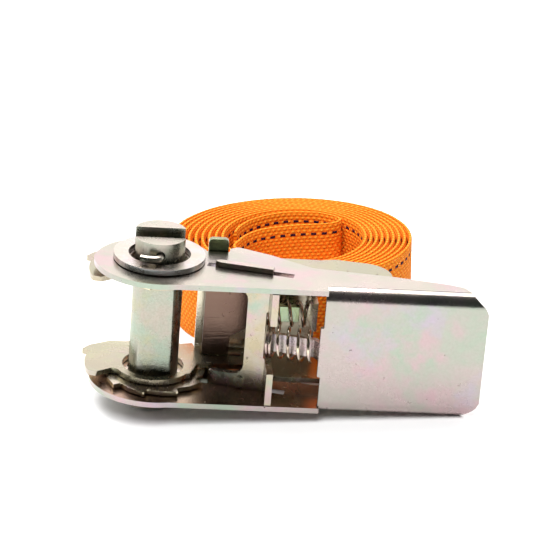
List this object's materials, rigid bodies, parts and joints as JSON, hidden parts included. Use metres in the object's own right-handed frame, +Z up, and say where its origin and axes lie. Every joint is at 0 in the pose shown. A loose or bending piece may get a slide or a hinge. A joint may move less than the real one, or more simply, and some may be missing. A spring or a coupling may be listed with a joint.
{
  "type": "ratchet tie down",
  "caption": "Sheet-steel webbing ratchet lying closed on its side, with toothed spindle, spring pawls and coiled flat strap.",
  "frame": {"origin": "centre of the bounding box on the floor plane the ratchet and its coil stand on", "axes": "+Z up, +X along the closed handle from the spindle to the grip, -Y towards the grip's broad face"},
  "size_m": [0.1112, 0.1062, 0.0522],
  "materials": {
    "zinc_yellow": "yellow and rainbow zinc passivate, satin",
    "zinc_blue": "clear zinc with a blue and pink tint, satin",
    "spring_wire": "drawn wire, bright",
    "webbing_orange": "woven polyester webbing with a dark tracer thread"
  },
  "bodies": {
    "frame_body": {"frame": "zinc_yellow", "anchor_rivet": "zinc_yellow", "anchor_sleeve": "zinc_blue", "strap_end_loop": "webbing_orange", "strap_lead": "webbing_orange", "strap_coil": "webbing_orange", "strap_inner_fold": "webbing_orange", "frame_pawl_spring": "spring_wire"},
    "handle_body": {"handle_lever": "zinc_yellow", "handle_pawl_spring": "spring_wire"},
    "handle_pawl_body": {"handle_pawl": "zinc_yellow"},
    "frame_pawl_body": {"frame_pawl": "zinc_yellow"},
    "spindle_body": {"mandrel_front_half": "zinc_yellow", "mandrel_rear_half": "zinc_yellow", "ratchet_wheel_upper": "zinc_yellow", "ratchet_wheel_lower": "zinc_yellow", "washer_upper": "zinc_blue", "washer_lower": "zinc_blue", "cotter_pin_upper": "spring_wire", "cotter_pin_lower": "spring_wire"}
  },
  "joints": [
    {"name": "handle_swing", "type": "hinge", "parent": "frame_body", "child": "handle_body", "pos_m": [-0.03485, -0.03504, 0.02476], "axis": [0.0754, 0, 0.9972], "range_deg": [-140, 0]},
    {"name": "spindle_turn", "type": "hinge", "parent": "frame_body", "child": "spindle_body", "pos_m": [-0.03485, -0.03504, 0.02476], "axis": [0.0754, 0, 0.9972], "continuous": true},
    {"name": "handle_pawl_pull", "type": "slide", "parent": "handle_body", "child": "handle_pawl_body", "axis": [0.9671, -0.2436, -0.0732], "range_m": [0, 0.005], "stiffness_N_per_m": 400, "springref_m": -0.004, "deforming": ["handle_pawl_spring"]},
    {"name": "frame_pawl_pull", "type": "slide", "parent": "frame_body", "child": "frame_pawl_body", "axis": [0.9972, 0, -0.0754], "range_m": [0, 0.00301], "deforming": ["frame_pawl_spring"]}
  ],
  "couplings": [
    {"joint": "frame_pawl_pull", "follows": "handle_swing", "m_per_rad": -0.001228}
  ]
}
